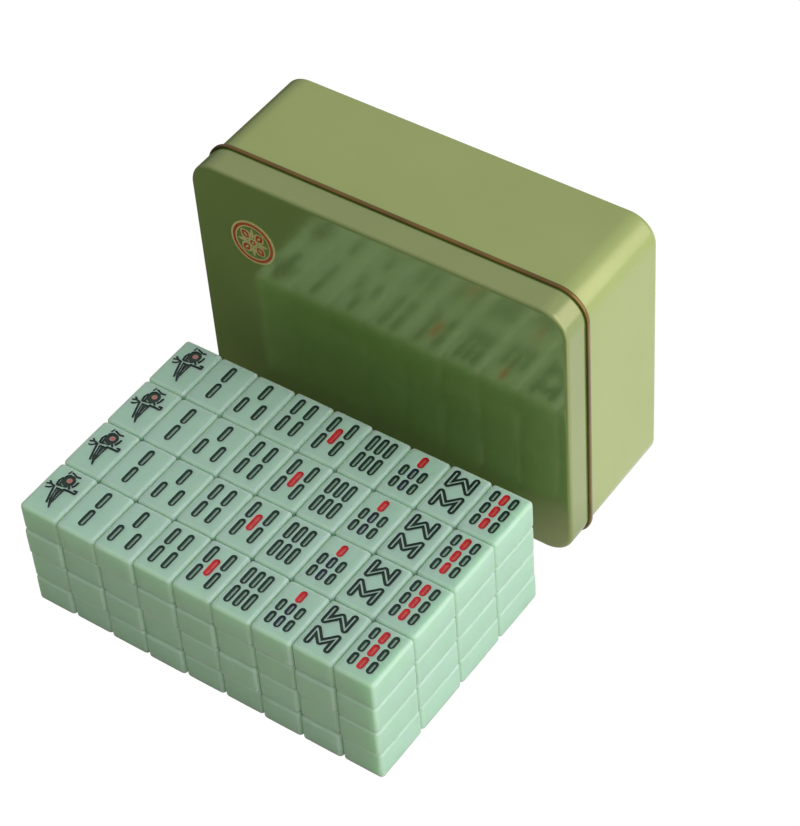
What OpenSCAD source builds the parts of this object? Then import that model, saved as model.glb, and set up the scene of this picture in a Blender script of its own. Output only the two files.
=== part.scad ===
// Travel mahjong case: a slip-lid tin standing on its long side, with its set of
// 144 tiles stacked in front of it. Millimetres, +Z up, +Y away from the viewer.

/* [Tiles] */
// Width of one tile, across its face
tile_w = 16.9; // [14:0.1:24]
// Length of one tile, along its face
tile_l = 24.1; // [20:0.1:34]
// Thickness of one tile
tile_t = 12.65; // [10:0.05:20]
// Radius that rounds every edge of a tile
tile_r = 1.6; // [0.8:0.1:2.4]
// Tiles of one kind in a set, which lie in one column
copies = 4; // [2:1:6]

/* [Case] */
// Room along the case's length, past the packed tiles
room_l = 6.5; // [2:0.5:30]
// Room along the case's height, past the packed tiles
room_h = 22.2; // [2:0.1:40]
// Room along the case's depth, past the packed tiles
room_d = 7.8; // [2:0.1:20]
// Radius of the case's four tall corners
corner_r = 11; // [6:0.5:20]
// Radius between the body's back panel and its walls
base_r = 2; // [1:0.1:4]
// Thickness of the tinplate
sheet = 0.3; // [0.2:0.05:0.6]
// Diameter of the curl that is rolled inwards at the body's rim
rim_d = 1.4; // [1.3:0.1:2]

/* [Lid] */
// Depth of the lid, from its face to the end of its curl
lid_d = 13.3; // [8:0.1:30]
// Radius between the lid's face and its skirt
lid_r = 1.6; // [1:0.1:2.4]
// Gap between the skirt and the body, on each side
lid_clear = 0.1; // [0.05:0.05:0.3]
// Least gap between the body's rim and the lid's face, where the lid sits home
seat_clear = 0.3; // [0.3:0.05:1]
// Length along the skirt of the curl that is rolled outwards at its end
curl_l = 1.9; // [1.4:0.1:4]
// Width of that curl, out from the skirt's inner side
curl_w = 1.3; // [1.3:0.1:3]

/* [Layout] */
// Gap between the stacked tiles and the lid's face
block_gap = 20.7; // [20:0.1:60]
// How far the stack stands to the right of the case's middle
block_x = 2.1; // [-3:0.1:3]
// Gap between tiles that lie side by side
tile_gap = 0.1; // [0.1:0.05:0.5]
// How far hand-stacked columns stray from an even line, towards or away from the case
stray = 0.3; // [0:0.05:1]

/* [Hidden] */
function suit(name) = [for (n = [1:9]) str(name, "_", n)];
// The kind of tile in each column, one list for each layer from the table up
LAYERS = [
    ["wind_east", "wind_south", "wind_west", "wind_north",
     "dragon_red", "dragon_green", "dragon_white", "flowers", "seasons"],
    suit("characters"),
    suit("dots"),
    suit("bamboo"),
];
$fn = 48;

layers = len(LAYERS);
columns = len(LAYERS[0]);

// The rim's curl stays clear of the round between the lid's face and its skirt
seat_gap = max(seat_clear, lid_r - sheet - rim_d / 2);
// The body is as large inside as the packed tiles and the room beside them
body_l = columns * tile_w + room_l + 2 * sheet;
body_h = copies * tile_l + room_h + 2 * sheet;
body_d = layers * tile_t + room_d - seat_gap + sheet;
// The straight stretches between the corners, which body and lid share
run_l = body_l - 2 * corner_r;
run_h = body_h - 2 * corner_r;
// Distances from a corner's centre to the skirt's inner and outer sides
skirt_in = corner_r + lid_clear;
skirt_out = skirt_in + sheet;

case_d = body_d + seat_gap + sheet;
pitch_x = tile_w + tile_gap;
pitch_y = tile_l + tile_gap;
block_d = copies * pitch_y - tile_gap;
total_d = block_d + block_gap + case_d;
// The case's middle is this high, because its lid's curl stands on the table
case_z = body_h / 2 + lid_clear + curl_w;

green = [0.62, 0.68, 0.42];
mint = [0.74, 0.88, 0.79];

// Turns a shape whose Z is the case's depth so that the case stands on its side,
// with Z = 0 at the back
module stand() {
    translate([0, total_d / 2, case_z]) rotate([90, 0, 0]) children();
}

// Carries an outline round the case. The outline's X runs out from the corners'
// centres, and its Y is the case's depth.
module around() {
    for (turn = [0, 180]) rotate(turn) {
        translate([0, run_h / 2, 0])
            rotate([90, 0, 90]) linear_extrude(run_l, center = true) children();
        translate([run_l / 2, 0, 0])
            rotate([90, 0, 0]) linear_extrude(run_h, center = true) children();
    }
    for (sx = [-1, 1], sy = [-1, 1])
        translate([sx * run_l / 2, sy * run_h / 2, 0])
            rotate(sy > 0 ? (sx > 0 ? 0 : 90) : (sx > 0 ? 270 : 180))
                rotate_extrude(angle = 90) children();
}

// Half of a pan's outline, w wide and d deep, with its bottom edge rounded to r
module pan_half(w, d, r) {
    square([w - r, d]);
    translate([0, r]) square([w, d - r]);
    translate([w - r, r]) circle(r);
}

// A pan of sheet with its corners at the case's own: w from a corner's centre to
// the wall's outer side, d deep, its bottom edge rounded to r
module pan(w, d, r) {
    around() difference() {
        pan_half(w, d, r);
        translate([0, sheet]) pan_half(w - sheet, d, r - sheet);
    }
    translate([-run_l / 2, -run_h / 2, 0]) cube([run_l, run_h, sheet]);
}

// A curl's outline: a ring with straight sides, open towards the sheet it is
// rolled from, w wide and l long, its lowest point at Y = 0
module curl(w, l) {
    difference() {
        stadium(w / 2, l, 0);
        stadium(w / 2, l, sheet);
        square([w / 2, w / 2]);
    }
}

// A standing stadium of radius r and length l in the first quadrant, inset by t
module stadium(r, l, t) {
    for (y = [r, l - r]) translate([r, y]) circle(r - t);
    if (l > 2 * r) translate([t, r]) square([2 * (r - t), l - 2 * r]);
}

module case_body() {
    color(green) stand() {
        pan(corner_r, body_d - rim_d / 2, base_r);
        around() translate([corner_r, body_d - rim_d])
            mirror([1, 0]) curl(rim_d, rim_d);
    }
}

module lid() {
    color(green) stand() translate([0, 0, case_d]) rotate([180, 0, 0]) {
        pan(skirt_out, lid_d - curl_w / 2, lid_r);
        around() translate([skirt_in, lid_d - curl_l]) curl(curl_w, curl_l);
    }
}

// A rectangle x by y about the origin, with its corners rounded to tile_r
module rounded(x, y) {
    square([x - 2 * tile_r, y], center = true);
    square([x, y - 2 * tile_r], center = true);
    for (sx = [-1, 1], sy = [-1, 1])
        translate([sx * (x / 2 - tile_r), sy * (y / 2 - tile_r)]) circle(tile_r);
}

// One tile about its own middle, rounded as seen from above, from its end and
// from its side
module tile() {
    intersection() {
        linear_extrude(tile_t, center = true) rounded(tile_w, tile_l);
        rotate([90, 0, 0]) linear_extrude(tile_l, center = true) rounded(tile_w, tile_t);
        rotate([90, 0, 90]) linear_extrude(tile_w, center = true) rounded(tile_l, tile_t);
    }
}

// The tiles of one kind: a column along Y in one layer of the stack
module tile_column(column, layer) {
    x = block_x + (column - (columns - 1) / 2) * pitch_x;
    y = (tile_l - total_d) / 2 + stray * sin(97 * column + 151 * layer);
    z = (layer + 0.5) * tile_t;
    color(mint) for (copy = [0 : copies - 1])
        translate([x, y + copy * pitch_y, z]) tile();
}

case_body();
lid();
for (layer = [0 : layers - 1], column = [0 : columns - 1])
    tile_column(column, layer);
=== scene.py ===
from math import atan2, ceil, cos, pi, radians, sin, tau

import bpy
import numpy as np
from mathutils import Matrix, Vector
from mathutils.geometry import delaunay_2d_cdt


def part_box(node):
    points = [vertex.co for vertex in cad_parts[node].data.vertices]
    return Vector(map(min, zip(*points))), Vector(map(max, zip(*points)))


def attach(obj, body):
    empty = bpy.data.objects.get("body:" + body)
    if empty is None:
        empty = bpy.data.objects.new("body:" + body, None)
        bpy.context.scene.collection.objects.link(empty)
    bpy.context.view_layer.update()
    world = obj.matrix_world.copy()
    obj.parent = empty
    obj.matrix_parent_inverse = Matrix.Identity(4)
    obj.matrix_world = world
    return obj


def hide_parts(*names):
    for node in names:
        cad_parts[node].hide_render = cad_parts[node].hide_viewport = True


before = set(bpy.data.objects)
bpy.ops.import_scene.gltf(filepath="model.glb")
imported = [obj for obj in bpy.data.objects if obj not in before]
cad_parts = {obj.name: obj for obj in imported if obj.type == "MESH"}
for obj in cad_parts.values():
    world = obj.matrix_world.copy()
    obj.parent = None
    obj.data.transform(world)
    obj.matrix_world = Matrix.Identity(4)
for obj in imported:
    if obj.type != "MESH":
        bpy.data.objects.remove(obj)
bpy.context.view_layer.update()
mm = 0.001


# Camera

shot = dict(
    spot=(0.4397, -0.5172, 0.7576),  # metres
    azimuth=38.41,  # degrees to the right of straight on
    elevation=45.94,  # degrees above the table
    roll=-4.87,  # degrees
    lens=119.85,  # millimetres, for a picture 36 high
)


# Looks along minus back, where back = (sin az cos el, -cos az cos el, sin el), then rolls about it
def makeCamera():
    az, el, roll = (radians(shot[key]) for key in ("azimuth", "elevation", "roll"))
    back = Vector((sin(az) * cos(el), -cos(az) * cos(el), sin(el)))
    level = (-back).cross(Vector((0, 0, 1))).normalized()
    upright = level.cross(-back)
    right = cos(roll) * level + sin(roll) * upright
    up = cos(roll) * upright - sin(roll) * level
    data = bpy.data.cameras.new("photoCamera")
    data.sensor_fit, data.sensor_height, data.lens = "VERTICAL", 36, shot["lens"]
    data.clip_start, data.clip_end = 0.01, 20
    camera = bpy.data.objects.new("photoCamera", data)
    camera.matrix_world = Matrix.Translation(shot["spot"]) @ Matrix((right, up, back)).transposed().to_4x4()
    bpy.context.scene.collection.objects.link(camera)
    bpy.context.scene.camera = camera


makeCamera()
bpy.context.scene.view_settings.view_transform = "Standard"
print("camera in place")


# Meshes

# points is an array of places in metres; each face keeps its material's index and its shading
def meshPiece(name, points, faces, finishes, finishOf, smooth, **values):
    mesh = bpy.data.meshes.new(name)
    mesh.from_pydata(points.tolist(), [], faces)
    mesh.polygons.foreach_set("material_index", np.asarray(finishOf, np.int32))
    mesh.polygons.foreach_set("use_smooth", np.asarray(smooth, bool))
    for finish in finishes:
        mesh.materials.append(finish)
    for key, value in values.items():
        mesh.attributes.new(key, "FLOAT", "POINT").data.foreach_set("value", np.asarray(value, np.float32))
    mesh.update()
    piece = bpy.data.objects.new(name, mesh)
    bpy.context.scene.collection.objects.link(piece)
    return piece


# Quads between each row of a grid of indices and the next; the last column joins the first if closed
def gridFaces(index, closed):
    after = np.roll(index, -1, 1) if closed else index[:, 1:]
    here = index if closed else index[:, :-1]
    return np.stack((here[:-1], after[:-1], after[1:], here[1:]), -1).reshape(-1, 4)


# Node groups: each puts out a mask or a height that changes over the surface

def newGroup(name, inputs, outputs):
    group = bpy.data.node_groups.new(name, "ShaderNodeTree")
    for socket, value in inputs.items():
        made = group.interface.new_socket(socket, in_out="INPUT", socket_type="NodeSocketFloat")
        made.default_value = value
    for socket in outputs:
        group.interface.new_socket(socket, in_out="OUTPUT", socket_type="NodeSocketFloat")
    return group, group.nodes.new("NodeGroupInput"), group.nodes.new("NodeGroupOutput")


def compute(tree, operation, a, b=0.0, c=0.0):
    node = tree.nodes.new("ShaderNodeMath")
    node.operation = operation
    for socket, value in zip(node.inputs, (a, b, c)):
        if isinstance(value, bpy.types.NodeSocket):
            tree.links.new(value, socket)
        else:
            socket.default_value = value
    return node.outputs[0]


# Noise on Object coordinates, whose features are about size millimetres across
def noise(tree, size, detail=2.0, stretch=(1, 1, 1)):
    place = tree.nodes.new("ShaderNodeTexCoord")
    mapping = tree.nodes.new("ShaderNodeMapping")
    mapping.inputs["Scale"].default_value = stretch
    grain = tree.nodes.new("ShaderNodeTexNoise")
    grain.inputs["Detail"].default_value = detail
    tree.links.new(place.outputs["Object"], mapping.inputs["Vector"])
    tree.links.new(mapping.outputs["Vector"], grain.inputs["Vector"])
    tree.links.new(compute(tree, "DIVIDE", 1000.0, size), grain.inputs["Scale"])
    return grain.outputs["Fac"]


# Slow clouds: 0 where noise is under 0.35, 1 where it is over 0.65
def makeMottle():
    group, given, out = newGroup("softMottle", {"Size": 30.0}, ["Mask"])
    cloud = noise(group, given.outputs["Size"])
    spread = compute(group, "MAXIMUM", compute(group, "MULTIPLY_ADD", cloud, 3.33, -1.17), 0.0)
    group.links.new(compute(group, "MINIMUM", spread, 1.0), out.inputs["Mask"])
    return group


# Fine relief for a Bump node: small grain on slower orange peel
def makeGrain():
    group, given, out = newGroup("fineGrain", {"Size": 1.0, "Peel": 0.5}, ["Height"])
    small = noise(group, given.outputs["Size"], 3.0)
    wide = noise(group, compute(group, "MULTIPLY", given.outputs["Size"], 5.0), 1.0)
    peel = compute(group, "MULTIPLY", wide, given.outputs["Peel"])
    group.links.new(compute(group, "ADD", small, peel), out.inputs["Height"])
    return group


# Roughness that rises from Low to High in smudges, and by Streak in thin streaks
def makeHandling():
    inputs = {"Low": 0.2, "High": 0.35, "Size": 18.0, "Streak": 0.0}
    group, given, out = newGroup("handling", inputs, ["Roughness"])
    smudge = noise(group, given.outputs["Size"], 3.0)
    streak = noise(group, compute(group, "MULTIPLY", given.outputs["Size"], 0.12), 2.0, (1, 0.15, 0.3))
    gap = compute(group, "MULTIPLY", compute(group, "SUBTRACT", streak, smudge), given.outputs["Streak"])
    share = compute(group, "MULTIPLY_ADD", compute(group, "ADD", smudge, gap), 3.0, -1.0)
    share = compute(group, "MINIMUM", compute(group, "MAXIMUM", share, 0.0), 1.0)
    low = given.outputs["Low"]
    step = compute(group, "SUBTRACT", given.outputs["High"], low)
    group.links.new(compute(group, "MULTIPLY_ADD", share, step, low), out.inputs["Roughness"])
    return group


# Painted highlight: the mesh's "edge" value, broken up by noise, times Amount; this is the mask where edges
# are painted paler for the light that glows there
def makePaintedEdgeGlow():
    group, given, out = newGroup("paintedEdgeGlow", {"Amount": 0.3, "Size": 2.0}, ["Mask"])
    edge = group.nodes.new("ShaderNodeAttribute")
    edge.attribute_name = "edge"
    broken = compute(group, "MULTIPLY_ADD", noise(group, given.outputs["Size"], 3.0), 0.8, 0.6)
    glowing = compute(group, "MULTIPLY", edge.outputs["Fac"], broken)
    glowing = compute(group, "MULTIPLY", glowing, given.outputs["Amount"])
    group.links.new(compute(group, "MINIMUM", glowing, 1.0), out.inputs["Mask"])
    return group


softMottle, fineGrain, handling, paintedEdgeGlow = makeMottle(), makeGrain(), makeHandling(), makePaintedEdgeGlow()


# Materials

# A display colour, 0 to 255 a channel, as linear light: ((c + 0.055) / 1.055) ^ 2.4 above the toe
def colour(red, green, blue):
    share = np.array((red, green, blue)) / 255
    linear = np.where(share > 0.04045, ((share + 0.055) / 1.055) ** 2.4, share / 12.92)
    return (*linear.tolist(), 1.0)


def newMaterial(name, **sockets):
    made = bpy.data.materials.new(name)
    made.use_nodes = True
    shader = made.node_tree.nodes["Principled BSDF"]
    for key, value in sockets.items():
        shader.inputs[key.replace("_", " ")].default_value = value
    return made.node_tree, shader, made


def useGroup(tree, group, output, **values):
    node = tree.nodes.new("ShaderNodeGroup")
    node.node_tree = group
    for key, value in values.items():
        node.inputs[key].default_value = value
    return node.outputs[output]


def mixColours(tree, factor, a, b):
    node = tree.nodes.new("ShaderNodeMix")
    node.data_type = "RGBA"
    for socket, value in ((node.inputs["Factor"], factor), (node.inputs["A"], a), (node.inputs["B"], b)):
        if isinstance(value, bpy.types.NodeSocket):
            tree.links.new(value, socket)
        else:
            socket.default_value = value
    return node.outputs["Result"]


def addBump(tree, shader, height, strength, distance):
    bump = tree.nodes.new("ShaderNodeBump")
    bump.inputs["Strength"].default_value = strength
    bump.inputs["Distance"].default_value = distance * mm
    tree.links.new(height, bump.inputs["Height"])
    tree.links.new(bump.outputs["Normal"], shader.inputs["Normal"])


lacquer = dict(  # paint and shade are the two tints that its clouds mix
    body=dict(paint=(140, 176, 84), shade=(134, 171, 78), level=0.82, gloss=(0.22, 0.28), coat=1.0),
    lid=dict(paint=(115, 150, 77), shade=(109, 145, 72), level=0.69, gloss=(0.11, 0.16), coat=0.85),
    tin=(1.0, 0.8, 0.46), ior=2.5,  # tint of what the tinplate under the paint reflects, and how strongly
    coatRough=0.14, streak=0.4,
)


# Semi-clear green lacquer on tinplate: green paint, a strong warm reflection in it, and a clear coat
def lacquerFinish(name, paint, shade, level, gloss, coat):
    tree, shader, made = newMaterial(
        name, IOR=lacquer["ior"], Specular_IOR_Level=level, Specular_Tint=(*lacquer["tin"], 1.0),
        Coat_Weight=coat, Coat_Roughness=lacquer["coatRough"])
    mask = useGroup(tree, softMottle, "Mask", Size=34.0)
    tree.links.new(mixColours(tree, mask, colour(*paint), colour(*shade)), shader.inputs["Base Color"])
    rough = useGroup(tree, handling, "Roughness", Low=gloss[0], High=gloss[1], Streak=lacquer["streak"])
    tree.links.new(rough, shader.inputs["Roughness"])
    addBump(tree, shader, useGroup(tree, fineGrain, "Height", Size=0.9, Peel=1.2), 0.1, 0.01)
    return made


gold = dict(
    bronze=dict(paint=(142, 110, 36), shade=(116, 88, 24), metal=0.95),  # the sheet's inner side
    pale=dict(paint=(236, 228, 160), shade=(220, 210, 140), metal=0.2),  # the ornament's lines
    gloss=(0.14, 0.22), coat=1.0, coatRough=0.1,
)


# Gold lacquer on metal: bronze on the sheet's inner side, which the outward curl shows as well
def goldFinish(name, paint, shade, metal):
    tree, shader, made = newMaterial(
        name, Metallic=metal, Coat_Weight=gold["coat"], Coat_Roughness=gold["coatRough"])
    mask = useGroup(tree, softMottle, "Mask", Size=22.0)
    tree.links.new(mixColours(tree, mask, colour(*paint), colour(*shade)), shader.inputs["Base Color"])
    rough = useGroup(tree, handling, "Roughness", Low=gold["gloss"][0], High=gold["gloss"][1], Size=12.0)
    tree.links.new(rough, shader.inputs["Roughness"])
    addBump(tree, shader, useGroup(tree, fineGrain, "Height", Size=0.6, Peel=0.6), 0.15, 0.01)
    return made


resin = dict(
    # the edge tint and the strength after it are a painted highlight along the tiles' rounded edges
    pale=(188, 226, 203), deep=(182, 221, 195), edge=(202, 248, 208),
    rough=(0.44, 0.54), edgeGlow=0.6,
    depth=8.5, reach=(0.85, 1.0, 0.65),  # how far light wanders inside: mm, and its share in each channel
)


# Pale resin with light inside it: clouds and the tile's own "tone" mix two tints, and a painted highlight
# makes the edges paler
def resinFinish():
    tree, shader, made = newMaterial(
        "tileResin", Subsurface_Weight=1.0, Subsurface_Scale=resin["depth"] * mm,
        Subsurface_Radius=resin["reach"], Specular_IOR_Level=0.25)
    tone = tree.nodes.new("ShaderNodeAttribute")
    tone.attribute_name = "tone"
    cloud = compute(tree, "MULTIPLY", useGroup(tree, softMottle, "Mask", Size=9.0), 0.5)
    body = mixColours(tree, compute(tree, "MULTIPLY_ADD", tone.outputs["Fac"], 0.5, cloud),
                      colour(*resin["pale"]), colour(*resin["deep"]))
    # painted highlight: the edge mask mixes the paler edge tint over the resin
    glowing = useGroup(tree, paintedEdgeGlow, "Mask", Amount=resin["edgeGlow"], Size=2.5)
    tree.links.new(mixColours(tree, glowing, body, colour(*resin["edge"])), shader.inputs["Base Color"])
    rough = useGroup(tree, handling, "Roughness", Low=resin["rough"][0], High=resin["rough"][1], Size=8.0)
    tree.links.new(rough, shader.inputs["Roughness"])
    addBump(tree, shader, useGroup(tree, fineGrain, "Height", Size=0.8, Peel=1.0), 0.06, 0.01)
    return made


enamel = dict(
    coat=0.3, coatRough=0.15, gloss=(0.3, 0.5),
    vermilion=((186, 62, 26), (204, 88, 44)),  # the ornament's, full and thin, as the marks' below
    marks=dict(
        green=((5, 38, 28), (14, 58, 42)), red=((196, 16, 30), (214, 44, 50)),
        navy=((14, 22, 44), (28, 36, 62)), pink=((196, 134, 130), (184, 144, 134)),
        thinGreen=((126, 160, 138), (146, 178, 156)), thinRed=((208, 74, 72), (216, 100, 92)),
    ),
)


# Enamel that fills an engraving, thinner and paler in places
def enamelFinish(name, paint, thin):
    tree, shader, made = newMaterial(name, Coat_Weight=enamel["coat"], Coat_Roughness=enamel["coatRough"])
    mask = useGroup(tree, softMottle, "Mask", Size=1.6)
    tree.links.new(mixColours(tree, mask, colour(*paint), colour(*thin)), shader.inputs["Base Color"])
    rough = useGroup(tree, handling, "Roughness", Low=enamel["gloss"][0], High=enamel["gloss"][1], Size=2.0)
    tree.links.new(rough, shader.inputs["Roughness"])
    addBump(tree, shader, useGroup(tree, fineGrain, "Height", Size=0.3, Peel=0.8), 0.25, 0.04)
    return made


bodyLacquer = lacquerFinish("bodyLacquer", **lacquer["body"])
lidLacquer = lacquerFinish("lidLacquer", **lacquer["lid"])
bronzeLacquer = goldFinish("bronzeLacquer", **gold["bronze"])
paleGold = goldFinish("paleGold", **gold["pale"])
tileResin = resinFinish()
enamels = [enamelFinish(name + "Enamel", *tints) for name, tints in enamel["marks"].items()]
vermilion = enamelFinish("vermilionEnamel", *enamel["vermilion"])
# What a mark leaves: the tile's face, or one of the enamels
land, green, red, navy, pink, thinGreen, thinRed = range(7)
print("materials made")


# Tin: two pans drawn from sheet, each one closed surface with the sheet's thickness

tin = dict(
    cornerR=11.0, baseR=2.0, sheet=0.3, rimD=1.4,  # the body's, in mm
    lidR=1.6, lidClear=0.1, curlL=1.9, curlW=1.3,  # the lid's
    step=5.0,  # longest facet along the sheet's outline
    across=46, up=34, turn=20,  # facets along the case's long and short sides, and round a corner
    bow=0.06,  # how far the large panels wave
)


# The sheet's middle line, in the plane of (out, depth): a move (length, 0) runs straight, and a move
# (radius, angle) turns left about c = p + r n, through p = c - r n, where n is the left-hand normal
def middleLine(moves, start):
    place, heading = np.array(start, float), 0.0
    points, headings = [place[None]], [np.zeros(1)]
    for size, angle in moves:
        if angle:
            turned = heading + radians(angle) * np.linspace(0, 1, ceil(abs(angle) / 9) + 1)[1:]
            radius = size if angle > 0 else -size
            centre = place + radius * np.array((-sin(heading), cos(heading)))
            new = centre - radius * np.stack((-np.sin(turned), np.cos(turned)), -1)
        else:
            even = np.linspace(0, size, ceil(size / tin["step"]) + 1)[1:]
            near = np.array((0.4, size - 0.4)) if size > 2 else np.zeros(0)
            along = np.unique(np.concatenate((near, even)))
            turned = np.full(len(along), heading)
            new = place + along[:, None] * (cos(heading), sin(heading))
        place, heading = new[-1], turned[-1]
        points.append(new)
        headings.append(turned)
    return np.concatenate(points), np.concatenate(headings)


# Both sides of the sheet and its round cut edge: m - n t/2 outwards, a half turn about the end, and
# m + n t/2 back, where m is the middle line, n its left-hand normal and t the thickness
def sheetOutline(moves, start):
    middle, heading = middleLine(moves, start)
    normal = np.stack((-np.sin(heading), np.cos(heading)), -1) * tin["sheet"] / 2
    turn = heading[-1] - pi / 2 + pi * np.linspace(0, 1, 7)[1:-1]
    cap = middle[-1] + tin["sheet"] / 2 * np.stack((np.cos(turn), np.sin(turn)), -1)
    outline = np.concatenate((middle - normal, cap, (middle + normal)[::-1]))
    return outline, len(middle), len(cap)


# The loop round the case: straight runs between the corners' axes, joined by quarter turns.
# A point at distance out from the axes lies at base + out * facing
def caseLoop(halfX, halfZ, across, up, turnSteps):
    corners = np.array(((1, -1), (1, 1), (-1, 1), (-1, -1), (1, -1))) * (halfX, halfZ)
    bases, angles = [], []
    for side, steps in enumerate((up, across, up, across)):
        share = np.arange(steps)[:, None] / steps
        bases += [corners[side] + share * (corners[side + 1] - corners[side]),
                  np.repeat(corners[side + 1][None], turnSteps, 0)]
        angles += [np.full(steps, 90.0 * side), 90 * (side + np.arange(turnSteps) / turnSteps)]
    angle = np.radians(np.concatenate(angles))
    return np.concatenate(bases), np.stack((np.cos(angle), np.sin(angle)), -1)


# A slow wave of 0 to 1 over a panel, from two crossed sines, that fades to 0 in the last 14 mm
def panelWave(x, z, inside):
    wave = 0.5 + 0.25 * np.sin(x / 13 + 1.1) * np.cos(z / 17 - 0.4) + 0.25 * np.sin((x + z) / 23)
    fade = np.clip(inside / 14, 0, 1)
    return wave * fade * fade * (3 - 2 * fade)


# A pan of sheet: its outline carried round caseLoop, and a grid that closes the panel on both sides.
# Places are (x, depth, z); depth 0 is the panel's outer side. The panel bows by tin["bow"].
def panShell(name, halfX, halfZ, moves, bow, place, finishes):
    across, up = tin["across"], tin["up"]
    outline, sideCount, capCount = sheetOutline(moves, (0.0, tin["sheet"] / 2))
    base, facing = caseLoop(halfX, halfZ, across, up, tin["turn"])
    flat = moves[0][0]
    around = base[None] + outline[:, None, :1] * facing[None]
    deep = np.broadcast_to(outline[:, 1:], around.shape[:2])
    rings = np.stack((around[..., 0], deep, around[..., 1]), -1)
    inside = np.where(outline[:, 1] < 0.5, flat - outline[:, 0], 0)[:, None]
    rings[..., 1] += bow * panelWave(rings[..., 0], rings[..., 2], inside)
    x, z = np.linspace(-halfX, halfX, across + 1), np.linspace(-halfZ, halfZ, up + 1)
    x, z = np.meshgrid(x, z, indexing="ij")
    inside = flat + np.minimum(halfX - abs(x), halfZ - abs(z))
    grids = [np.stack((x, depth + bow * panelWave(x, z, inside), z), -1) for depth in (0.0, tin["sheet"])]
    points = np.concatenate([part.reshape(-1, 3) for part in (rings, *grids)])
    ringIndex = np.arange(rings.shape[0] * rings.shape[1]).reshape(rings.shape[:2])
    gridIndex = ringIndex.size + np.arange(x.size).reshape(x.shape)
    faces = np.concatenate((gridFaces(ringIndex, True), gridFaces(gridIndex, False),
                            gridFaces(gridIndex + x.size, False)[:, ::-1]))
    ringInner = np.repeat(np.arange(len(outline) - 1), rings.shape[1]) >= sideCount - 1 + capCount / 2
    inner = np.concatenate((ringInner, np.zeros(across * up), np.ones(across * up)))
    points, same = np.unique(points.round(5), axis=0, return_inverse=True)
    faces = [list(dict.fromkeys(face)) for face in same.reshape(-1)[faces].tolist()]
    piece = meshPiece(name, place(points) * mm, faces, finishes, inner, np.ones(len(faces)))
    print(name + ":", len(faces), "faces,", sideCount, "rows a side")
    return piece


bodyLow, bodyHigh = (np.array(corner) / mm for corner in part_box("case_body"))
lidLow, lidHigh = (np.array(corner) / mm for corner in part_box("lid"))
caseX, caseZ = (bodyLow + bodyHigh)[[0, 2]] / 2  # the case's middle
runX, runZ = (bodyHigh - bodyLow)[[0, 2]] / 2 - tin["cornerR"]  # to the corners' axes


# The body: panel, wall, and a curl rolled inwards at the rim
def makeBody():
    half, out = tin["sheet"] / 2, tin["cornerR"]
    wall = bodyHigh[1] - bodyLow[1] - tin["rimD"] / 2 - tin["baseR"]
    moves = [(out - tin["baseR"], 0), (tin["baseR"] - half, 90), (wall, 0), (tin["rimD"] / 2 - half, 270)]
    return panShell("bodyShell", runX, runZ, moves, tin["bow"],
                    lambda p: np.stack((caseX + p[:, 0], bodyHigh[1] - p[:, 1], caseZ + p[:, 2]), -1),
                    [bodyLacquer, bronzeLacquer])


# The lid: panel, skirt, and a flat curl rolled outwards at its end
def makeLid():
    half, out = tin["sheet"] / 2, tin["cornerR"] + tin["lidClear"] + tin["sheet"]
    wall = lidHigh[1] - lidLow[1] - tin["curlW"] / 2 - tin["lidR"]
    curl = tin["curlW"] / 2 - half
    moves = [(out - tin["lidR"], 0), (tin["lidR"] - half, 90), (wall, 0),
             (curl, -180), (tin["curlL"] - tin["curlW"], 0), (curl, -90)]
    return panShell("lidShell", runX, runZ, moves, tin["bow"],
                    lambda p: np.stack((caseX - p[:, 0], lidLow[1] + p[:, 1], caseZ + p[:, 2]), -1),
                    [lidLacquer, bronzeLacquer])


bodyShell, lidShell = makeBody(), makeLid()
for piece, node in ((bodyShell, "case_body"), (lidShell, "lid")):
    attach(piece, node)
    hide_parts(node)


# Marks: each is a list of (closed outline, what it leaves), drawn in order, so a later one covers

# Half turns of the same radius about both ends of a line
def capsule(a, b, half, steps=10):
    turn = atan2(b[1] - a[1], b[0] - a[0]) + np.linspace(-pi / 2, pi / 2, steps + 1)
    arc = half * np.stack((np.cos(turn), np.sin(turn)), -1)
    return np.concatenate((b + arc, a - arc))


def disc(x, y, radius, steps=24):
    turn = tau * np.arange(steps) / steps
    return np.stack((x + radius * np.cos(turn), y + radius * np.sin(turn)), -1)


# A leaf from a point along lean: its half width is wide/2 * sin(pi s) at share s of its length
def leaf(x, y, length, wide, lean, steps=9):
    share = np.linspace(0, 1, steps)
    side = wide / 2 * np.sin(pi * share)
    along = np.concatenate((share, share[-2:0:-1])) * length
    aside = np.concatenate((-side, side[-2:0:-1]))
    turn = radians(lean)
    ahead, left = np.array((cos(turn), sin(turn))), np.array((-sin(turn), cos(turn)))
    return (x, y) + along[:, None] * ahead + aside[:, None] * left


# Capsules from each point of a bent line to the next
def strokes(points, half, paint):
    return [(capsule(np.array(a), np.array(b), half), paint) for a, b in zip(points, points[1:])]


# A stroke with a rim of paint, and something else inside the rim
def hollow(lines, wide, rim, paint, inside):
    return [mark for half, left in ((wide / 2, paint), (wide / 2 - rim, inside))
            for line in lines for mark in strokes(line, half, left)]


def bar(x, y, length, wide, paint):
    reach = (length - wide) / 2
    inside = thinRed if paint == red else thinGreen
    return hollow([[(x, y - reach), (x, y + reach)]], wide, engraving["rim"], paint, inside)


engraving = dict(
    depth=0.35, rim=1.0,
    barLong=8.3, barWide=2.75, shortLong=5.6, shortWide=2.7,
    line=0.42,  # half the width of a plain engraved line
    drift=(-0.6, 0.75), stray=0.22,  # the marks' place on the face, and how far it varies
    margin=0.2,  # what stays bare along the face's outline
)


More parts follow.
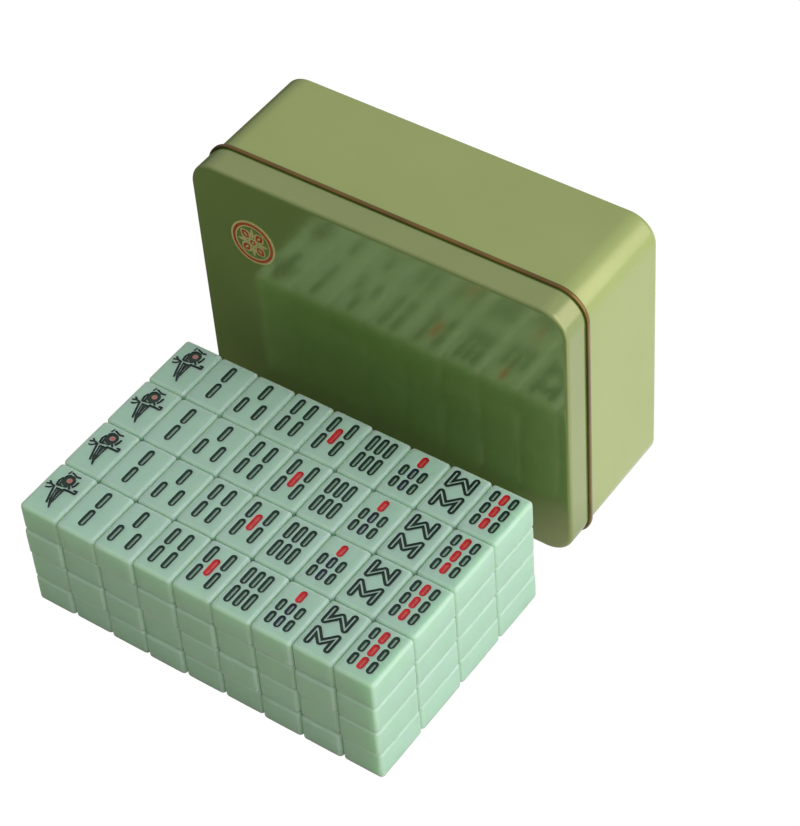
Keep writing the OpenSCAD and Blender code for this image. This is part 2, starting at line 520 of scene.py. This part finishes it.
# Bamboo: a bird for 1, and bars for the rest
def bamboo(number):
    long, wide = engraving["barLong"], engraving["barWide"]
    row = 4.65
    if number == 1:
        return bird()
    if number == 8:
        zigzag = [(-4.1, 8.0), (-4.1, 2.0), (0, 6.4), (4.1, 2.0), (4.1, 8.0)]
        lines = [zigzag, [(x, -y) for x, y in zigzag]]
        return hollow(lines, engraving["shortWide"], engraving["rim"] * 1.08, green, land)
    if number in (7, 9):
        places = [(x, y, green if x else (red if number == 9 else navy))
                  for y in (0, -6.2) for x in (-3.9, 0, 3.9)]
        top = [(x, 6.2, green if x else red) for x in ((-3.9, 0, 3.9) if number == 9 else (0,))]
        return [mark for x, y, paint in top + places
                for mark in bar(x, y, engraving["shortLong"], engraving["shortWide"], paint)]
    columns = {2: [(0, 0)], 3: [(0, -3.9), (0, 3.9)], 4: [(-2.9, -2.9), (2.9, 2.9)],
               5: [(-3.8, -3.8), (3.8, 3.8)], 6: [(-3.75, -3.75), (0, 0), (3.75, 3.75)]}[number]
    places = {(top, row, green) for top, _ in columns} | {(low, -row, green) for _, low in columns}
    if number == 5:
        places.add((0, 0, red))
    return [mark for x, y, paint in sorted(places) for mark in bar(x, y, long, wide, paint)]


# A bird looking back over its wing: outlines filled with green, and thin slits of bare face
def bird():
    back = [(-3.2, 5.9), (-3.9, 3.8), (-3.4, 1.5), (-2.4, 1.2), (-0.4, 1.8), (0.9, 2.0), (1.5, 3.2),
            (-0.4, 2.9), (-1.8, 3.6), (-2.4, 5.2)]
    tail = [(-2.2, 0.7), (-1.5, -2.0), (-0.8, -5.0), (0.1, -6.6), (1.3, -8.5), (1.9, -8.4), (1.2, -6.2),
            (1.3, -4.8), (1.2, -2.4), (1.5, 0.7), (0.2, 1.0)]
    head = [(-2.3, 6.6), (-1.2, 7.5), (0.6, 7.3), (1.6, 6.3), (1.7, 4.8), (0.9, 3.4), (-0.4, 3.2),
            (-1.6, 3.8), (-2.3, 5.2), (-2.3, 6.6)]
    lines = [
        ([(-2.5, 7.9), (-2.2, 9.2)], 0.3),
        ([(-1.2, 8.9), (-0.3, 8.6), (1.2, 8.1), (2.4, 8.4)], 0.4),  # crest
        ([(-3.2, 0.7), (-2.1, -2.8), (-0.7, -6.6)], 0.42),  # the longest plumes
        ([(1.9, 5.9), (1.9, 4.1)], 0.42), ([(3.3, 6.1), (3.2, 4.8), (2.8, 3.6)], 0.45),  # beak and breast
        ([(1.3, 3.4), (2.3, 2.3)], 0.45),
        ([(-3.3, 0.7), (-4.8, 1.0), (-5.8, 1.8)], 0.42),
        ([(-4.8, 1.0), (-6.3, 0.5)], 0.38), ([(-3.8, 0.1), (-4.6, -0.8), (-5.6, -1.1)], 0.36),  # wing tip
        ([(0.9, 1.1), (3.1, 1.3), (5.4, 1.3)], 0.5), ([(4.5, 2.5), (5.5, 2.6), (5.6, 1.5)], 0.45),  # legs
    ]
    slits = [[(-2.9, 4.3), (-2.6, 2.4)], [(-1.8, 2.7), (-0.5, 2.3)], [(-1.2, -0.2), (-0.3, -3.8)],
             [(0.5, -0.4), (0.6, -3.6)]]
    marks = [(np.array(back), green), (np.array(tail), green)]
    marks += [mark for line, half in lines for mark in strokes(line, half, green)]
    marks += [(np.array(head[:-1]), green), *strokes(head, 0.48, green)]
    marks += [(disc(-0.3, 5.6, 1.1), pink), (disc(-0.3, 5.6, 0.45), thinRed)]
    return marks + [mark for line in slits for mark in strokes(line, 0.1, land)]


def coin(x, y, radius, paint, middle):
    rings = ((radius, paint), (radius * 0.68, land), (radius * 0.36, middle))
    return [(disc(x, y, size), left) for size, left in rings]


# Dots: one large flower coin for 1, and rows of coins for the rest
def dots(number):
    if number == 1:
        petals = [(leaf(0, 0, 4.4, 1.7, lean), red if lean % 90 else green) for lean in range(0, 360, 45)]
        return [(disc(0, 0, 6.2, 48), green), (disc(0, 0, 5.3, 48), land), *petals, (disc(0, 0, 1.0), navy)]
    high, low = 6.4, 5.0
    places = {
        2: [(0, low), (0, -low)], 3: [(-3.9, high), (0, 0), (3.9, -high)],
        4: [(x, y) for x in (-3.4, 3.4) for y in (low, -low)],
        5: [(0, 0)] + [(x, y) for x in (-3.7, 3.7) for y in (high, -high)],
        6: [(x, y) for x in (-3.2, 3.2) for y in (high, -1.2, -high)],
        7: [(-4.2, 8.0), (0, 6.0), (4.2, 4.0)] + [(x, y) for x in (-2.7, 2.7) for y in (-1.6, -6.8)],
        8: [(x, y) for x in (-2.7, 2.7) for y in (7.2, 2.4, -2.4, -7.2)],
        9: [(x, y) for x in (-4.3, 0, 4.3) for y in (6.4, 0, -6.4)],
    }[number]
    radius = {2: 3.4, 3: 2.6, 4: 2.8, 5: 2.3, 6: 2.3, 7: 1.9, 8: 2.0, 9: 1.9}[number]
    paints = [green, navy, red]
    return [mark for k, (x, y) in enumerate(places)
            for mark in coin(x, y, radius, paints[(k + number) % 3], paints[(k + number + 1) % 3])]


digits = {
    1: [(-1.2, 1.7), (0.3, 3), (0.3, -3)],
    2: [(-1.8, 1.6), (-1.2, 2.7), (0.2, 3.1), (1.5, 2.6), (1.7, 1.2), (-1.9, -3), (2.0, -3)],
    3: [(-1.8, 3), (1.8, 3), (-0.1, 0.6), (1.3, 0.1), (1.8, -1.3), (0.9, -2.7), (-0.6, -3), (-1.9, -2.2)],
    4: [(0.9, -3), (0.9, 3), (-2.1, -1.0), (2.1, -1.0)],
    5: [(1.7, 3), (-1.5, 3), (-1.7, 0.4), (0.4, 0.7), (1.7, -0.4), (1.6, -2.0), (0.2, -3), (-1.8, -2.4)],
    6: [(1.3, 3), (-0.8, 1.4), (-1.8, -1.0), (-1.1, -2.7), (0.4, -3), (1.7, -2.0), (1.5, -0.4), (0.1, 0.3),
        (-1.5, -0.4)],
    7: [(-1.9, 3), (1.9, 3), (-0.5, -3)],
    8: [(0, 0.2), (-1.5, 1.4), (-1.1, 2.7), (0, 3.1), (1.1, 2.7), (1.5, 1.4), (0, 0.2),
        (-1.8, -1.3), (-1.2, -2.7), (0, -3.1), (1.2, -2.7), (1.8, -1.3), (0, 0.2)],
}
digits[9] = [(-x, -y) for x, y in digits[6]]


def lozenge(x, y, wide, high, half, paint):
    corners = [(x + wide, y), (x, y + high), (x - wide, y), (x, y - high)]
    return strokes(corners + corners[:1], half, paint)


# Characters: a plain number over a red fret
def characters(number):
    figure = [(1.15 * x, 4.9 + 1.15 * y) for x, y in digits[number]]
    fret = lozenge(0, -4.6, 4.6, 4.0, 0.36, red) + lozenge(0, -4.6, 2.2, 1.9, 0.34, red)
    ties = [mark for sx, sy in ((1, 0), (0, 1), (-1, 0), (0, -1))
            for mark in strokes([(2.2 * sx, -4.6 + 1.9 * sy), (4.6 * sx, -4.6 + 4.0 * sy)], 0.3, red)]
    return strokes(figure, engraving["line"] * 1.25, green if number % 2 else navy) + fret + ties


# Winds: an arrow in a ring, turned to its quarter
def wind(lean):
    turn = radians(lean)
    spin = np.array(((cos(turn), sin(turn)), (-sin(turn), cos(turn))))
    shaft = np.array(((-3.0, 0), (1.2, 0))) @ spin
    head = np.array(((0.6, -1.9), (3.7, 0), (0.6, 1.9))) @ spin
    ring = [(disc(0, 0, 5.4, 40), navy), (disc(0, 0, 4.6, 40), land)]
    ticks = [mark for x, y in ((1, 0), (0, 1), (-1, 0), (0, -1))
             for mark in strokes([(4.9 * x, 7.6 * y), (5.9 * x, 8.9 * y)], 0.4, navy)]
    return [*ring, (capsule(*shaft, 0.6), red), (head, red), *ticks]


def dragon(paint):
    if paint == navy:
        frames = [(wide, 8.6 * wide / 5.4) for wide in (5.4, 4.0)]
        return [mark for x, y in frames for mark in strokes(
            [(x, y), (-x, y), (-x, -y), (x, -y), (x, y)], engraving["line"], navy)]
    rings = [mark for size in (1, 0.62, 0.28)
             for mark in lozenge(0, 0, 5.6 * size, 9 * size, engraving["line"], paint)]
    return rings + strokes([(-5.6, 0), (-1.6, 0)], 0.4, paint) + strokes([(1.6, 0), (5.6, 0)], 0.4, paint)


# Flowers and seasons: sprigs that differ from tile to tile
def sprig(petals, lean, petalPaint, count):
    stem = [(-1.6, -8.6), (-0.6, -3.4), (0, 2.6)]
    leaves = [(leaf(-0.6, -3.6 + 1.5 * k, 4.2, 1.7, 35 if k % 2 else 145), green) for k in range(count)]
    flower = [(leaf(0, 4.0, 4.0, 2.2, lean + 360 * k / petals), petalPaint) for k in range(petals)]
    heart = [(disc(0, 4.0, 1.2), land), (disc(0, 4.0, 0.8), navy)]
    return strokes(stem, 0.4, green) + leaves + flower + heart


windLean = dict(wind_east=0, wind_south=270, wind_west=180, wind_north=90)
dragonPaint = dict(dragon_red=red, dragon_green=green, dragon_white=navy)


# The marks of a node's tile; copy is its place in the column
def marksOf(node, copy):
    if node in windLean:
        return wind(windLean[node])
    if node in dragonPaint:
        return dragon(dragonPaint[node])
    if node == "flowers":
        return sprig(5 + copy, 18 * copy, red, 2)
    if node == "seasons":
        return sprig(4, 45 * copy, navy if copy % 2 else red, 1 + copy)
    suit, number = node.rsplit("_", 1)
    return dict(bamboo=bamboo, dots=dots, characters=characters)[suit](int(number))


# A loop whose signed area, half the sum of x y' - x' y along it, is positive
def anticlockwise(loop):
    x, y = loop.T
    return loop if x @ np.roll(y, -1) > y @ np.roll(x, -1) else loop[::-1]


# A face cut along its marks. Each triangle takes what the last mark round it leaves; painted ones lie
# at the bottom of the engraving, and a wall stands on each edge between the two levels.
# Gives the points (x, y, level), the triangles and quads, their paints, and the outline's indices.
def engrave(outline, marks):
    loops = [outline] + [anticlockwise(loop) for loop, _ in marks]
    left = np.array([land] + [paint for _, paint in marks])
    ends = np.cumsum([0] + [len(loop) for loop in loops]).tolist()
    corners = [list(range(a, b)) for a, b in zip(ends, ends[1:])]
    flat = [Vector(point) for point in np.concatenate(loops).tolist()]
    points, _, triangles, origins, _, inside = delaunay_2d_cdt(flat, [], corners, 1, 1e-5, True)
    points, triangles = np.array([tuple(point) for point in points]), np.array(triangles)
    a, b, c = (points[triangles[:, k]] for k in range(3))
    turned = np.cross(b - a, c - a) < 0
    triangles[turned] = triangles[turned][:, ::-1]
    paint = left[[max(loop) for loop in inside]]
    sunk, count = paint > 0, len(points)
    edges = np.concatenate([triangles[:, [k, (k + 1) % 3]] for k in range(3)])
    below = np.tile(sunk, 3)
    key, back = edges @ (count, 1), edges @ (1, count)
    step = below & np.isin(key, back[~below])
    first, second = edges[step].T
    walls = np.stack((first, second, second + count, first + count), -1)
    outlineAt = {origin: k for k, group in enumerate(origins) for origin in group if origin < len(outline)}
    level = np.concatenate((np.zeros(count), np.ones(count)))
    points = np.column_stack((np.concatenate((points, points)), level))
    paints = np.concatenate((paint, np.tile(paint, 3)[step]))
    triangles = triangles + count * sunk[:, None]
    used = np.unique(np.concatenate((triangles.ravel(), walls.ravel())))
    triangles, walls = np.searchsorted(used, triangles), np.searchsorted(used, walls)
    rim = np.searchsorted(used, [outlineAt[k] for k in range(len(outline))])
    return points[used], triangles.tolist() + walls.tolist(), paints, rim


# Ornament: a flower roundel that stands proud of the lid's face

ornament = dict(
    x=-54.0, z=92.5, radius=9.8,  # its middle on the lid, and its size
    proud=0.22, sunk=0.15, seat=0.15,  # gold above the face, enamel below the gold, base in the sheet
)


# Rings and four petals: gold lines (land) round fields of vermilion (1) and of the lid's lacquer (2)
def roundel(radius):
    field, ground = 1, 2
    marks = [(disc(0, 0, radius * share, 60), left)
             for share, left in ((0.92, field), (0.8, land), (0.74, ground))]
    for lean in range(0, 360, 90):
        x, y = 1.4 * cos(radians(lean)), 1.4 * sin(radians(lean))
        marks.append((leaf(x, y, 5.4, 1.6, lean), land))
    for start, length, wide, left in ((1.2, 5.9, 4.8, land), (2.2, 4.3, 3.2, field), (3.0, 2.4, 1.0, land)):
        for lean in range(45, 360, 90):
            x, y = start * cos(radians(lean)), start * sin(radians(lean))
            marks.append((leaf(x, y, length, wide, lean), left))
    return marks + [(disc(0, 0, 1.9), land), (disc(0, 0, 1.2), field), (disc(0, 0, 0.55), land)]


def makeOrnament():
    outline = disc(0, 0, ornament["radius"], 72)
    face, faces, paints, outlineAt = engrave(outline, roundel(ornament["radius"]))
    out = ornament["proud"] - ornament["sunk"] * face[:, 2]
    face = np.column_stack((face[:, :2], out))
    base = np.column_stack((outline, np.full(len(outline), -ornament["seat"])))
    index = np.vstack((outlineAt, len(face) + np.arange(len(outline))))
    sides = gridFaces(index, True)[:, ::-1].tolist()
    x, y, out = np.concatenate((face, base)).T
    points = np.column_stack((ornament["x"] + x, lidLow[1] - out, ornament["z"] + y)) * mm
    finishOf = np.concatenate((paints, np.zeros(len(sides) + 1, int)))
    piece = meshPiece("lidRoundel", points, faces + sides + [index[1][::-1].tolist()],
                      [paleGold, vermilion, lidLacquer], finishOf, np.zeros(len(finishOf)))
    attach(piece, "lid")
    print("ornament:", len(finishOf), "faces")


makeOrnament()


# Tiles

blank = dict(
    planR=1.6, edgeR=1.4, strip=0.15,  # round corners in plan, round edges, and the flat ring beside them
    barrel=0.1,  # how far the sides draw in towards the corners
    slack=0.03, nudge=0.015, yaw=0.05,  # room on each side for laying by hand: mm, mm and degrees
)


# Rings from the face's flat part round the edge, down the side and under: the inset d and height h run
# (d, h) = (r - r sin t, H - r + r cos t) round the edge, and each ring is a rounded rectangle inset by d
def tileRings(width, length, thick):
    radius, flat = blank["edgeR"], blank["edgeR"] + blank["strip"]
    turn = np.linspace(0, pi / 2, 7)
    inset = np.concatenate(([flat], radius - radius * np.sin(turn)))
    height = np.concatenate(([thick / 2], thick / 2 - radius + radius * np.cos(turn)))
    # edge: strongest halfway round each rounded edge, where the resin gets its painted highlight
    edge = np.concatenate(([0], np.sin(2 * turn) ** 0.7))
    side = np.linspace(1, -1, 6)[1:-1] * (thick / 2 - radius)
    inset = np.concatenate((inset, np.zeros(4), inset[::-1]))
    height = np.concatenate((height, side, -height[::-1]))
    edge = np.concatenate((edge, np.zeros(4), edge[::-1]))
    base, facing = caseLoop(1, 1, 5, 7, 6)
    cornerSize = np.maximum(blank["planR"] - inset, blank["strip"])[:, None]
    reach = np.array((width / 2, length / 2)) - inset[:, None] - cornerSize
    plan = base[None] * reach[:, None] + cornerSize[:, None] * facing[None]
    rings = np.concatenate((plan, np.broadcast_to(height[:, None, None], (*plan.shape[:2], 1))), -1)
    share = rings / (width / 2, length / 2, thick / 2)
    for k in (0, 1):
        rings[..., k] -= facing[:, k] * blank["barrel"] * (share[..., 1 - k] ** 2 + share[..., 2] ** 2) / 2
    # the rounded corners in plan get at least 0.6 of the painted highlight
    turned = (abs(facing[:, 0] * facing[:, 1]) * 2)[None]
    edge = np.maximum(np.broadcast_to(edge[:, None], plan.shape[:2]), 0.6 * turned)
    edge = np.where((np.arange(len(inset)) % (len(inset) - 1) == 0)[:, None], 0, edge)
    return rings, edge


# One tile about its middle: the rings, a flat underside and the engraved face, sharing the face's outline
def tileParts(rings, edge, marks):
    steps = rings.shape[1]
    face, faces, paints, outlineAt = engrave(rings[0, :, :2], marks)
    top = rings[0, 0, 2]
    face = np.column_stack((face[:, :2], top - engraving["depth"] * face[:, 2]))
    points = np.concatenate((face, rings[1:].reshape(-1, 3)))
    index = np.vstack((outlineAt, len(face) + np.arange(rings[1:, :, 0].size).reshape(-1, steps)))
    sides = gridFaces(index, True)[:, ::-1].tolist()
    faces = faces + sides + [index[-1][::-1].tolist()]
    paints = np.concatenate((paints, np.zeros(len(sides) + 1, int)))
    smooth = np.arange(len(faces)) >= len(faces) - len(sides) - 1
    smooth[-1] = False
    return points, faces, paints, smooth, np.concatenate((np.zeros(len(face)), edge[1:].ravel()))


def makeTiles(node, copies, gap, chance):
    low, high = (np.array(corner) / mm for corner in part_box(node))
    width, thick = high[0] - low[0], high[2] - low[2]
    length = (high[1] - low[1] - (copies - 1) * gap) / copies
    slack = 2 * blank["slack"]
    rings, edge = tileRings(width - slack, length - slack, thick)
    flat = rings[0, :, :2]
    points, faces, paints, smooth, edges, tones, used = [], [], [], [], [], [], 0
    for copy in range(copies):
        marks = marksOf(node, copy)
        reach = np.concatenate([loop for loop, _ in marks])
        margin = engraving["margin"]
        room = [flat.min(0) + margin - reach.min(0), flat.max(0) - margin - reach.max(0)]
        shift = np.clip(engraving["drift"] + chance.uniform(-1, 1, 2) * engraving["stray"], *room)
        marks = [(loop + shift, paint) for loop, paint in marks]
        tile, tileFaces, tilePaints, tileSmooth, tileEdge = tileParts(rings, edge, marks)
        turn = radians(chance.uniform(-1, 1) * blank["yaw"])
        spin = np.array(((cos(turn), sin(turn), 0), (-sin(turn), cos(turn), 0), (0, 0, 1)))
        nudge = chance.uniform(-1, 1, 2) * blank["nudge"]
        middle = (low + high) / 2
        middle[1] = low[1] + length / 2 + copy * (length + gap)
        points.append(tile @ spin + middle + (*nudge, 0))
        faces += [[corner + used for corner in face] for face in tileFaces]
        paints.append(tilePaints)
        smooth.append(tileSmooth)
        edges.append(tileEdge)
        tones.append(np.full(len(tile), chance.uniform(0, 1)))
        used += len(tile)
    piece = meshPiece(node + "_tiles", np.concatenate(points) * mm, faces, [tileResin, *enamels],
                      np.concatenate(paints), np.concatenate(smooth),
                      edge=np.concatenate(edges), tone=np.concatenate(tones))
    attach(piece, node)
    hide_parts(node)
    return len(faces)


stack = dict(copies=4, gap=0.1, seed=11)
chance = np.random.default_rng(stack["seed"])
tileNodes = sorted(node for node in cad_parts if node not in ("case_body", "lid"))
faceCount = sum(makeTiles(node, stack["copies"], stack["gap"], chance) for node in tileNodes)
print("tiles:", len(tileNodes), "kinds,", faceCount, "faces")


# Floor, world and lamps

studio = dict(
    reach=3.0,  # half the floor's width, in metres
    floor=(207, 205, 167), floorGlow=0.88, glow=1.12,
    glossGlow=0.91, glossLeast=0.03, glossShare=0.78, glossFrom=0.05, glossRise=0.1,
    bright=(0.5, 0.22, 0.9), middle=0.25, gain=0.36, dim=0.03, worldGloss=0.1,
    aim=(0, 0, 0.05),  # what the lamps point at
    lamps=dict(  # place, size, watts, colour, and whether reflections show it
        key=((2.1, 0.5, 1.3), 2.9, 22.0, (1, 1, 1), True),
        side=((2.2, 0.1, 0.75), 1.4, 20.8, (0.845, 0.87, 1), False),
    ),
)


def rayShare(tree, cameraShare, glossShare):
    path = tree.nodes.new("ShaderNodeLightPath")
    seen = compute(tree, "MAXIMUM", path.outputs["Is Camera Ray"], path.outputs["Is Transmission Ray"])
    seen = compute(tree, "MULTIPLY", seen, cameraShare)
    return compute(tree, "MULTIPLY_ADD", path.outputs["Is Glossy Ray"], glossShare, seen)


def dotWith(tree, source, direction):
    place, product = tree.nodes.new("ShaderNodeTexCoord"), tree.nodes.new("ShaderNodeVectorMath")
    product.operation = "DOT_PRODUCT"
    product.inputs[1].default_value = direction
    tree.links.new(place.outputs[source], product.inputs[0])
    return product.outputs["Value"]


# A pale floor that is lit as any surface, and that camera rays see nearly white. Reflections see a
# glow as well: glossGlow (x + y - glossFrom) / glossRise, which rises to the right and behind, from
# glossLeast to glossGlow.
def makeFloor():
    tree, shader, made = newMaterial("paleFloor", Base_Color=colour(*studio["floor"]), Roughness=0.9)
    slope = studio["glossGlow"] / studio["glossRise"]
    across = dotWith(tree, "Object", (slope, slope, 0))
    rise = compute(tree, "SUBTRACT", across, slope * studio["glossFrom"])
    rise = compute(tree, "MAXIMUM", rise, studio["glossLeast"])
    rise = compute(tree, "MINIMUM", rise, studio["glossGlow"])
    glow = tree.nodes.new("ShaderNodeEmission")
    tree.links.new(rayShare(tree, studio["glow"], rise), glow.inputs["Strength"])
    mix = tree.nodes.new("ShaderNodeMixShader")
    tree.links.new(rayShare(tree, studio["floorGlow"], studio["glossShare"]), mix.inputs["Fac"])
    tree.links.new(shader.outputs["BSDF"], mix.inputs[1])
    tree.links.new(glow.outputs["Emission"], mix.inputs[2])
    tree.links.new(mix.outputs["Shader"], tree.nodes["Material Output"].inputs["Surface"])
    reach = studio["reach"]
    corners = np.array(((-reach, -reach, 0), (reach, -reach, 0), (reach, reach, 0), (-reach, reach, 0)))
    floor = meshPiece("floor", corners, [[0, 1, 2, 3]], [made], [0], [False])


# A studio that is bright behind and to the right and dim towards the camera: its strength is
# middle + gain * (direction . bright), and never under dim
def makeWorld():
    world = bpy.data.worlds.new("studioWorld")
    bpy.context.scene.world = world
    world.use_nodes = True
    tree = world.node_tree
    shade, white = tree.nodes["Background"], tree.nodes.new("ShaderNodeBackground")
    facing = dotWith(tree, "Generated", studio["bright"])
    level = compute(tree, "MULTIPLY_ADD", facing, studio["gain"], studio["middle"])
    tree.links.new(compute(tree, "MAXIMUM", level, studio["dim"]), shade.inputs["Strength"])
    mix = tree.nodes.new("ShaderNodeMixShader")
    for background in (shade, white):
        background.inputs["Color"].default_value = (1, 1, 1, 1)
    tree.links.new(rayShare(tree, 1.0, studio["worldGloss"]), mix.inputs["Fac"])
    tree.links.new(shade.outputs["Background"], mix.inputs[1])
    tree.links.new(white.outputs["Background"], mix.inputs[2])
    tree.links.new(mix.outputs["Shader"], tree.nodes["World Output"].inputs["Surface"])


def makeLamps():
    for name, (place, size, watts, tint, mirrored) in studio["lamps"].items():
        data = bpy.data.lights.new(name + "Lamp", "AREA")
        data.shape, data.size, data.energy, data.color = "SQUARE", size, watts, tint
        lamp = bpy.data.objects.new(name + "Lamp", data)
        lamp.location, lamp.visible_glossy = place, mirrored
        lamp.rotation_euler = (Vector(studio["aim"]) - Vector(place)).to_track_quat("-Z", "Y").to_euler()
        bpy.context.scene.collection.objects.link(lamp)


makeFloor()
makeWorld()
makeLamps()
print("studio lit")
